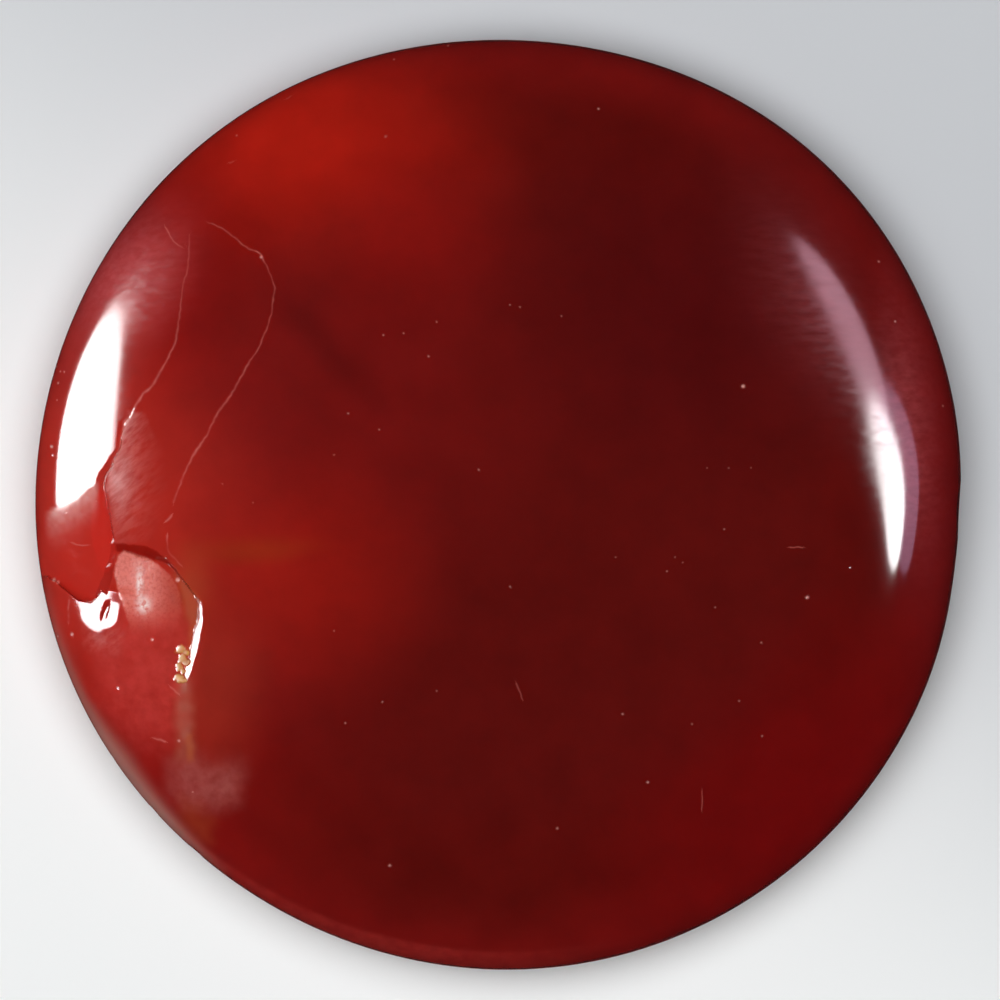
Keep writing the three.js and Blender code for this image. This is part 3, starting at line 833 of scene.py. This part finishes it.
paintedEdgeLight = {  # painted light: the thin edge shows the pale floor at its lower left: angles, and the values there
    "share": 0.995,
    "width": ((205, 214, 224, 232), (0.013, 0.025, 0.018, 0.012)),
    "amount": ((188, 212, 224, 234), (0, 1, 1, 0)),
    "bandFrom": ((222, 240, 262), (0.980, 0.967, 0.955)),  # and a rosy band of painted light lies inside it
    "bandSoft": 0.010,
    "band": ((218, 228, 262, 285), (0, 0.35, 0.35, 0)),
}


def paintMasks(plan, masks):  # amounts from 0 to 1 at each vertex
    x, y = plan.T
    share = domeShare(plan)
    pale = np.zeros(len(plan))
    for speckX, speckY, size, strength in specks:
        pale = np.maximum(pale, strength * np.exp(-(np.hypot(x - speckX, y - speckY) / size) ** 4))

    # frosted stone: the hollow and a fan of streaks beside the left crack; and a painted highlight, where the
    # left highlight runs out pale over the frosted ground below it
    spec = paint["fan"]
    fan = patch(plan, "fan") * np.exp(-((x - spec["wall"]) / spec["reach"]).clip(0) ** 2)
    fan = fan * smoothStep(*spec["up"], y)
    # painted highlight: the left highlight's pale end, fading below the wedge's top line
    spec = paint["hazyHighlight"]
    hazyHighlight = smoothStep(*spec["start"], masks["belowTop"]) * mottled(plan, 0.2, 0.12, 33)
    hazyHighlight *= np.exp(-(masks["belowTop"] / spec["reach"]).clip(0) ** 2)
    hazyHighlight *= smoothStep(*spec["across"], x) * smoothStep(*spec["rim"], share)
    spec = paint["hollow"]
    frost = masks["lobe"] * smoothStep(*spec["up"], y)
    frost *= spec["least"] + (1 - spec["least"]) * smoothStep(*spec["across"], x)
    glints = [np.exp(-np.hypot((x - glintX) / halfWidth, (y - glintY) / halfLength) ** 2)
              for glintX, glintY, halfWidth, halfLength in paint["glints"]]
    spec = paint["ledgeGlow"]
    fromLedge = np.hypot(x - spec["at"][0], (y - spec["at"][1]) * spec["squeeze"])

    # painted light on the thin edge and in the rosy band inside it, by the angle round the stone
    turn = np.degrees(np.arctan2(y, x)) % 360
    edge = np.exp(-((share - paintedEdgeLight["share"]) / np.interp(turn, *paintedEdgeLight["width"])) ** 2)
    bandFrom = np.interp(turn, *paintedEdgeLight["bandFrom"])
    band = smoothStep(bandFrom, bandFrom + paintedEdgeLight["bandSoft"], share) * np.interp(turn, *paintedEdgeLight["band"])

    rough = plan + paint["crumbStray"] * np.column_stack([grain(plan, 0.10, 61), grain(plan, 0.11, 62)])
    gapStart, gapEnd, gapMost = paint["gap"]
    slitStart, slitEnd, slitMost = paint["slit"]
    crumbReach = [np.hypot(*(rough - (crumbX, crumbY)).T) / size for crumbX, crumbY, size in crumbs]
    crumbReach = np.min(crumbReach, axis=0)
    return {
        "pale": pale,
        "frost": frost,
        "hazyHighlight": hazyHighlight,
        # the fan's feathers, and painted highlight haze below the small highlight
        "fan": np.maximum(fan, patch(plan, "hazeBelowHighlight")),
        "glint": np.maximum(*glints) * masks["lobe"],
        # painted shade: the chip's wall that faces away from the light, the sunk side of the crack and the
        # slit
        "dark": np.maximum.reduce([
            masks["wall"] * smoothStep(*paint["wallEnd"], x),
            gapMost * smoothStep(gapStart, gapEnd, masks["gap"]),
            slitMost * smoothStep(slitStart, slitEnd, ovalReach(plan, scoops[0]))]),
        # painted glare beside the highlights
        "paintedGlare": softOvals(plan, paintedGlares),
        # painted reflection on the broken corner's floor, and the rosy band of painted light inside the
        # lower-left edge
        "rosy": np.maximum(patch(plan, "rosy") * smoothStep(*paint["rosyUp"], y), band),
        "stain": np.maximum.reduce([
            patch(plan, "ledge"), patch(plan, "yellow"), patch(plan, "brown"),
            spec["most"] * np.exp(-(fromLedge / spec["reach"]) ** 2)]),
        "ochre": smoothStep(*paint["crumb"], crumbReach) * mottled(plan, 0.2, 0.12, 63),
        "crumb": np.sqrt((1 - crumbReach ** 2).clip(0)),
        "cloud": patch(plan, "cloud"),
        # painted reflection on the rounded ridge below the wall
        "ridgeSheen": patch(plan, "ridgeSheen") * mottled(plan, 0.3, 0.3, 35),
        "edge": edge * np.interp(turn, *paintedEdgeLight["amount"]),
        "scar": masks["wedge"] * (0.5 + patch(plan, "sliver")),
        "worn": softOvals(plan, wornZones),
    }


fine = {  # depths and heights
    "pit": 0.014, "frost": 0.004, "frostSize": 0.13, "crumb": 0.05, "cloud": 0.006,
}
nickUp = 0.15  # the nicks' middles lie this far above the girdle
nickReach = 12  # and no vertex nearer to the stone's middle than this is touched


def sculpt(points):
    plan = points[:, :2]
    onTop = points[:, 2] >= form["girdleHeight"] - atRim
    height, masks = sculptTop(plan)
    painted = paintMasks(plan, masks)
    painted["crackAcross"], painted["crack"], groove = traceCracks(plan)
    painted = {name: np.where(onTop, amount, 0) for name, amount in painted.items()}

    # small marks go in along the surface's own direction
    step = 0.01
    riseX, riseY = [(domeHeight(plan + way) - domeHeight(plan - way)) / (2 * step)
                    for way in (np.array((step, 0)), np.array((0, step)))]
    outward = np.column_stack([-riseX, -riseY, np.ones(len(plan))])
    outward /= np.linalg.norm(outward, axis=1)[:, None]
    rise = fine["frost"] * painted["frost"] * grain(plan, fine["frostSize"], 51)
    rise += fine["crumb"] * painted.pop("crumb") - fine["cloud"] * painted["cloud"]
    rise -= fine["pit"] * painted["pale"] + groove
    made = points.copy()
    made[onTop, 2] = height[onTop]
    made[onTop] += outward[onTop] * rise[onTop, None]

    for nick in rimNicks:
        turn = math.radians(nick["angle"])
        toNick = np.array([math.cos(turn), math.sin(turn)])
        along = (plan @ np.array([-toNick[1], toNick[0]])) / (nick["length"] / 2)
        up = (points[:, 2] - form["girdleHeight"] - nickUp) / (nick["height"] / 2)
        bite = nick["depth"] * np.clip(1 - along ** 2 - up ** 2, 0, 1) * (plan @ toNick > nickReach)
        made[:, :2] -= bite[:, None] * toNick
    return made, painted


# Material: agate, cut and polished. The eye sees sharp, glassy highlights over deep red stone that
# light soaks into, soft brighter clouds in its depth, and dull ground where it is broken. The brighter rim
# and left side, pale haze and glints by the highlights, and some reflections are painted light.

agate = {
    "core": "#5E0E0B",
    "paintedRimLight": {"from": 12.4, "to": 15.0, "colour": "#8C1614", "amount": 0.6},  # painted light: the stone is brighter towards its rim
    "clouds": [  # middle, half sizes, turn, colour and amount, each over the ones before
        # painted light: this cloud brightens the stone's left side, where the light comes from
        ((-15.5, -0.5), (14.5, 27.0), 0, "#9C1613", 1.0),
        ((-3.5, 3.5), (8.0, 8.0), 0, "#781210", 0.7),
        # painted light: these three brighten the left rim and the ground round the left highlight
        ((-16.5, -0.5), (6.2, 14.0), 0, "#D2382D", 1.0),
        ((-12.3, 6.3), (2.4, 4.8), -28, "#AE302C", 0.9),
        ((-12.0, -1.2), (5.6, 8.5), 8, "#BC2E22", 0.9),
        ((-7.0, 12.4), (9.8, 5.6), -16, "#B41E12", 1.0),
        ((-2.8, 8.8), (5.0, 4.6), 0, "#8C110D", 0.6),
        ((-6.9, -2.2), (6.2, 5.2), 0, "#A0180E", 0.75),
        ((-9.2, -6.3), (2.4, 4.6), 0, "#A23022", 0.6),
        ((-5.6, 5.0), (4.0, 0.9), -50, "#520C0B", 0.5),
        ((6.5, 6.5), (9.0, 8.0), 0, "#4C080B", 0.6),
        ((10.0, -10.0), (12.0, 7.0), 45, "#740A0B", 0.9),
        ((14.5, -1.0), (2.6, 12.0), 0, "#741011", 0.8),
        ((-7.8, -1.4), (3.2, 0.6), 0, "#98300F", 0.5),
    ],
    "drift": {"size": 6.0, "detail": 2.0, "most": 1.6},  # a broad noise that moves the clouds about
    "noiseRoughness": 0.55,
    # Noise: size in mm, detail, stretch, turn, the span that is used and what it becomes. Real frost and
    # the scratches of worn polish are finer, and these are drawn as coarse as they need to show.
    "grains": {
        "mottle": (1.60, 4.0, (1, 1, 1), 0, (0.30, 0.70), (0.90, 1.10)),  # faint, in the depth of the stone
        "feathers": (0.16, 3.0, (0.22, 1, 1), -38, (0.36, 0.64), (0.15, 1.0)),  # slanting, in the fan
        "speckle": (0.10, 3.0, (1, 1, 1), 0, (0.30, 0.55), (0.55, 1.0)),  # frost
        "sparkle": (0.22, 2.0, (1, 1, 1), 0, (0.38, 0.52), (0.20, 1.0)),
        "hairs": (0.20, 4.0, (0.18, 1, 1), 0, (0.34, 0.66), (0.50, 1.0)),  # level, in the painted glare
        "film": (0.45, 5.0, (1, 1, 1), 0, (0.30, 0.65), (0.40, 1.0)),
        "wear": (0.20, 3.0, (0.20, 1, 1), 0, (0.40, 0.66), (0.08, 0.15)),  # scratches, as roughness
    },
    "layers": [  # the painted marks, from the lowest up: colour, most of it, and its grain
        # painted glare: pale haze beside the highlights
        ("paintedGlare", "#D4646A", 1.0, "hairs"),
        # painted reflection and painted light: the rosy sheen on the broken floor, and the band inside the
        # lower-left edge
        ("rosy", "#C83E38", 0.8, "film"),
        # painted light: the pale lower-left edge
        ("edge", "#C88E82", 0.72, None),
        ("scar", "#CC2C22", 0.9, None),
        # painted shade on the chip's wall, in the crack's sunk side and in the slit
        ("dark", "#94160F", 0.9, None),
        # the fan's feathers, and painted highlight haze below the small highlight
        ("fan", "#DC7C76", 0.62, "feathers"),
        ("frost", "#E87A6C", 0.85, "speckle"),
        # painted highlight: the left highlight's pale end over frosted ground
        ("hazyHighlight", "#EBA59F", 0.85, None),
        ("cloud", "#B5605A", 0.5, "film"),
        # painted reflection: the soft sheen of the rounded ridge below the wall
        ("ridgeSheen", "#B0644E", 0.6, None),
        ("stain", "#B4552F", 0.7, None),
        ("ochre", "#D2A050", 0.95, None),
        # pits, and painted glints on the left rim and the broken edge
        ("pale", "#E59A90", 0.9, None),
        # painted glints on the frosted hollow
        ("glint", "#FFF0EC", 0.9, "sparkle"),
    ],
    "crack": "#CE6A62",
    "polish": 0.055,  # roughness
    "dullness": {"frost": 0.28, "fan": 0.22, "hazyHighlight": 0.25, "cloud": 0.20, "edge": 0.22, "stain": 0.16,
                 "ridgeSheen": 0.30, "ochre": 0.70},
    "relief": {"strength": 0.5, "height": 0.02},  # of the frosted ground
    "refraction": 1.54,  # of agate
    "soak": {"share": 0.25, "depth": 1.0, "reach": (1.0, 0.12, 0.06)},  # how far each colour of light gets in
}


def makeAgate(spec):
    material = bpy.data.materials.new("polishedAgate")
    material.use_nodes = True
    tree = material.node_tree
    shader = tree.nodes["Principled BSDF"]
    place = addNode(tree, "ShaderNodeTexCoord", output="Object")
    masks = {name: addNode(tree, "ShaderNodeAttribute", output="Fac", attribute_name=name)
             for name in [layer[0] for layer in spec["layers"]] + ["worn", "crack", "crackAcross"]}
    noises, grains = {}, {}
    for name, (size, detail, stretch, turn, span, becomes) in spec["grains"].items():
        vector = addNode(tree, "ShaderNodeMapping", {
            "Vector": place, "Rotation": (0, 0, math.radians(turn))}, vector_type="POINT")
        vector = addNode(tree, "ShaderNodeVectorMath", [vector, stretch], operation="MULTIPLY")
        noises[name] = addNode(tree, "ShaderNodeTexNoise", {
            "Vector": vector, "Scale": 1 / (size * mm), "Detail": detail,
            "Roughness": spec["noiseRoughness"]})
        grains[name] = addNode(tree, "ShaderNodeMapRange", {
            "Value": noises[name], "From Min": span[0], "From Max": span[1],
            "To Min": becomes[0], "To Max": becomes[1]})

    # the colour in the depth: the core, painted light that brightens the rim, drifting clouds (some of them
    # painted light) and a faint mottle
    glow = spec["paintedRimLight"]
    flat = addNode(tree, "ShaderNodeVectorMath", [place, (1, 1, 0)], operation="MULTIPLY")
    fromMiddle = addNode(tree, "ShaderNodeVectorMath", [flat], "Value", operation="LENGTH")
    rimLightAmount = addNode(tree, "ShaderNodeMapRange", {
        "Value": fromMiddle, "From Min": glow["from"] * mm, "From Max": glow["to"] * mm,
        "To Max": glow["amount"]}, interpolation_type="SMOOTHSTEP")
    colour = addNode(tree, "ShaderNodeMix", {
        0: rimLightAmount, 6: srgb(spec["core"]), 7: srgb(glow["colour"])}, 2, data_type="RGBA")
    drift = addNode(tree, "ShaderNodeTexNoise", {
        "Vector": place, "Scale": 1 / (spec["drift"]["size"] * mm), "Detail": spec["drift"]["detail"],
        "Roughness": spec["noiseRoughness"]}, "Color")
    drift = addNode(tree, "ShaderNodeVectorMath", [drift, (0.5, 0.5, 0.5)], operation="SUBTRACT")
    drift = addNode(tree, "ShaderNodeVectorMath", {
        0: drift, "Scale": spec["drift"]["most"] * mm}, operation="SCALE")
    drifting = addNode(tree, "ShaderNodeVectorMath", [place, drift], operation="ADD")
    for (x, y), (halfX, halfY), turn, code, amount in spec["clouds"]:
        vector = addNode(tree, "ShaderNodeMapping", {
            "Vector": drifting, "Location": (x * mm, y * mm, 0), "Rotation": (0, 0, math.radians(turn)),
            "Scale": (halfX * mm, halfY * mm, 1.0)}, vector_type="TEXTURE")
        reach = addNode(tree, "ShaderNodeVectorMath", [vector], "Value", operation="LENGTH")
        inCloud = addNode(tree, "ShaderNodeMapRange", {
            "Value": reach, "From Min": 1.0, "From Max": 0.0, "To Max": amount},
            interpolation_type="SMOOTHSTEP")
        colour = addNode(tree, "ShaderNodeMix", {0: inCloud, 6: colour, 7: srgb(code)}, 2, data_type="RGBA")
    colour = addNode(tree, "ShaderNodeVectorMath", {0: colour, "Scale": grains["mottle"]}, operation="SCALE")

    # the painted marks, and last the hairline cracks: a soft line where the distance across is smallest
    for name, code, most, grained in spec["layers"]:
        amount = addNode(tree, "ShaderNodeMath", [masks[name], most], operation="MULTIPLY")
        if grained:
            amount = addNode(tree, "ShaderNodeMath", [amount, grains[grained]], operation="MULTIPLY")
        colour = addNode(tree, "ShaderNodeMix", {0: amount, 6: colour, 7: srgb(code)}, 2, data_type="RGBA")
    line = addNode(tree, "ShaderNodeMath", [masks["crackAcross"], masks["crackAcross"]], operation="MULTIPLY")
    line = addNode(tree, "ShaderNodeMath", [line, -1.0], operation="MULTIPLY")
    line = addNode(tree, "ShaderNodeMath", [line], operation="EXPONENT")
    line = addNode(tree, "ShaderNodeMath", [line, masks["crack"]], operation="MULTIPLY", use_clamp=True)
    colour = addNode(tree, "ShaderNodeMix", {0: line, 6: colour, 7: srgb(spec["crack"])}, 2, data_type="RGBA")
    tree.links.new(colour, shader.inputs["Base Color"])

    # a clear shine, streaked and softer where it is a little worn, and dull on frosted or stained stone
    rough = addNode(tree, "ShaderNodeMath", [masks["worn"], grains["wear"]], operation="MULTIPLY")
    rough = addNode(tree, "ShaderNodeMath", [rough, spec["polish"]], operation="ADD")
    for name, dullness in spec["dullness"].items():
        dull = addNode(tree, "ShaderNodeMath", [masks[name], dullness], operation="MULTIPLY")
        rough = addNode(tree, "ShaderNodeMath", [rough, dull], operation="MAXIMUM")
    tree.links.new(rough, shader.inputs["Roughness"])
    relief = spec["relief"]
    strength = addNode(tree, "ShaderNodeMath", [masks["frost"], relief["strength"]], operation="MULTIPLY")
    relief = addNode(tree, "ShaderNodeBump", {
        "Strength": strength, "Distance": relief["height"] * mm, "Height": noises["speckle"]})
    tree.links.new(relief, shader.inputs["Normal"])
    shader.inputs["IOR"].default_value = spec["refraction"]
    shader.inputs["Subsurface Weight"].default_value = spec["soak"]["share"]
    shader.inputs["Subsurface Radius"].default_value = spec["soak"]["reach"]
    shader.inputs["Subsurface Scale"].default_value = spec["soak"]["depth"] * mm
    return material


# Building the stone

form["material"] = makeAgate(agate)
plainForm = buildForm(form)
points = np.empty(len(plainForm.vertices) * 3)
plainForm.vertices.foreach_get("co", points)
points = points.reshape(-1, 3) / mm
corners = np.empty(len(plainForm.polygons) * 3, int)
plainForm.polygons.foreach_get("vertices", corners)
corners = corners.reshape(-1, 3)
print("form:", len(points), "vertices", len(corners), "triangles")
points, corners = refine(points, corners)
print("refined:", len(points), "vertices", len(corners), "triangles")
onEdge = snapToEdges(points)
points, painted = sculpt(points)

low, high = points.min(0), points.max(0)
middle = (low + high) / 2 * (1, 1, 0)
stoneMesh = bpy.data.meshes.new("cabochon_stone")
stoneMesh.from_pydata(((points - middle) * mm).tolist(), [], corners.tolist())
stoneMesh.materials.append(form["material"])
stoneMesh.shade_smooth()
stoneMesh.set_sharp_from_angle(angle=math.radians(30))  # broken edges stay crisp
ends = np.empty(len(stoneMesh.edges) * 2, int)
stoneMesh.edges.foreach_get("vertices", ends)
a, b = onEdge[ends.reshape(-1, 2)].T
sharp = np.empty(len(a), bool)
stoneMesh.attributes["sharp_edge"].data.foreach_get("value", sharp)
stoneMesh.attributes["sharp_edge"].data.foreach_set("value", sharp | ((a > 0) & (a == b)))
for name, amount in painted.items():
    stoneMesh.attributes.new(name, "FLOAT", "POINT").data.foreach_set("value", amount.astype(np.float32))
stone = bpy.data.objects.new("cabochon_stone", stoneMesh)
bpy.context.scene.collection.objects.link(stone)
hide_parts(nodeName)
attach(stone, "root")
print("stone built")


# The camera looks straight down, as the picture looks straight at the stone's face

camera = {
    "lens": 800.0,  # a very long lens, so that every part of the stone is seen straight from above
    "sensor": 36.0,
    "pixelsPerMm": 31.03,  # at the girdle, the stone's widest line
    "imagePixels": 1000,
    "domeAtPixel": (500.9, 502.6),  # where the middle of the dome falls in the picture
    "clip": (0.001, 10.0),
}


def makeCamera(spec):
    data = bpy.data.cameras.new("camera")
    data.lens = spec["lens"]
    data.sensor_width = spec["sensor"]
    data.clip_start, data.clip_end = spec["clip"]
    eye = bpy.data.objects.new("camera", data)
    bpy.context.scene.collection.objects.link(eye)
    frameWidth = spec["imagePixels"] / spec["pixelsPerMm"]
    distance = frameWidth * spec["lens"] / spec["sensor"]
    half = spec["imagePixels"] / 2
    offX = (half - spec["domeAtPixel"][0]) / spec["pixelsPerMm"]
    offY = (spec["domeAtPixel"][1] - half) / spec["pixelsPerMm"]
    eye.location = Vector((offX - middle[0], offY - middle[1], form["girdleHeight"] + distance)) * mm
    bpy.context.scene.camera = eye


makeCamera(camera)


# Floor, world and lights

card = {
    "half": 1.5,  # metres
    "paler": {"way": (-0.5, -0.85, 0), "from": -14, "to": 11},  # painted light: it gets paler towards the lower left
    "colours": ("#CED1D5", "#FAFCFC"),
    "roughness": 0.9,
    "sheen": 0.2,
}


def makeFloor(spec):
    data = bpy.data.meshes.new("floor")
    half = spec["half"]
    places = [(-half, -half, 0), (half, -half, 0), (half, half, 0), (-half, half, 0)]
    data.from_pydata(places, [], [(0, 1, 2, 3)])
    paint = bpy.data.materials.new("matteCard")  # pale card, painted paler towards the lower left as if lit from there, so that the stone's colour stands alone
    paint.use_nodes = True
    tree = paint.node_tree
    shader = tree.nodes["Principled BSDF"]
    place = addNode(tree, "ShaderNodeTexCoord", output="Object")
    paler = spec["paler"]
    down = addNode(tree, "ShaderNodeVectorMath", [place, paler["way"]], "Value", operation="DOT_PRODUCT")
    amount = addNode(tree, "ShaderNodeMapRange", {
        "Value": down, "From Min": paler["from"] * mm, "From Max": paler["to"] * mm},
        interpolation_type="SMOOTHSTEP")
    dark, light = [srgb(code) for code in spec["colours"]]
    colour = addNode(tree, "ShaderNodeMix", {0: amount, 6: dark, 7: light}, 2, data_type="RGBA")
    tree.links.new(colour, shader.inputs["Base Color"])
    shader.inputs["Roughness"].default_value = spec["roughness"]
    shader.inputs["Specular IOR Level"].default_value = spec["sheen"]
    data.materials.append(paint)
    floor = bpy.data.objects.new("floor", data)
    floor.visible_glossy = False  # the stone's polished edge mirrors a dark room and not the card
    bpy.context.scene.collection.objects.link(floor)


makeFloor(card)
world = bpy.data.worlds.new("studio")
world.use_nodes = True
background = world.node_tree.nodes["Background"]
background.inputs["Color"].default_value = srgb("#C8CCD8")
background.inputs["Strength"].default_value = 0.015  # a nearly dark room
bpy.context.scene.world = world

lights = [  # the first four are what the polish mirrors, and the others light the stone and the floor
    {"name": "leftSoftbox", "azimuth": 174.9, "elevation": 24.7, "roll": 64, "size": (0.436, 0.342),
     "colour": "#FFFFFF", "glow": 26.0, "shines": "gloss"},
    {"name": "rightStrip", "azimuth": 1.9, "elevation": 44.3, "roll": 40, "size": (0.163, 0.079),
     "colour": "#FFFFFF", "glow": 26.0, "shines": "gloss"},
    {"name": "rightVeil", "azimuth": 24.0, "elevation": 47.2, "roll": -1, "size": (0.210, 0.095),
     "colour": "#FFC8DF", "glow": 6.4, "shines": "gloss"},
    {"name": "rightFlank", "azimuth": 3.1, "elevation": 37.3, "roll": -46, "size": (0.124, 0.198),
     "colour": "#F8D2FF", "glow": 2.8, "shines": "gloss"},
    {"name": "leftFill", "azimuth": 178.0, "elevation": 65.0, "roll": 0, "size": (0.30, 0.30),
     "colour": "#FFFFFF", "glow": 1.8, "shines": "body"},
    {"name": "topFill", "azimuth": 90.0, "elevation": 88.0, "roll": 0, "size": (0.50, 0.50),
     "colour": "#FFFFFF", "glow": 3.75, "shines": "body"},
]


def makeLight(spec, aim, distance=0.5):
    data = bpy.data.lights.new(spec["name"], "AREA")
    data.shape = "ELLIPSE"
    data.size, data.size_y = spec["size"]
    data.energy = spec["glow"] * math.pi * math.pi * data.size * data.size_y / 4  # by its area
    data.color = srgb(spec["colour"])[:3]
    lamp = bpy.data.objects.new(spec["name"], data)
    bpy.context.scene.collection.objects.link(lamp)
    azimuth, elevation = math.radians(spec["azimuth"]), math.radians(spec["elevation"])
    level = math.cos(elevation)
    away = Vector((math.cos(azimuth) * level, math.sin(azimuth) * level, math.sin(elevation)))
    lamp.location = aim + away * distance
    lamp.rotation_mode = "QUATERNION"
    roll = Quaternion((0, 0, 1), math.radians(spec["roll"]))
    lamp.rotation_quaternion = away.to_track_quat("Z", "Y") @ roll  # its X lies level before the roll
    lamp.visible_camera = False
    lamp.visible_diffuse = spec["shines"] == "body"
    lamp.visible_glossy = spec["shines"] == "gloss"


for spec in lights:
    makeLight(spec, Vector((0, 0, form["height"] / 2 * mm)))
bpy.context.scene.view_settings.view_transform = "Standard"
print("camera, floor and lights made")
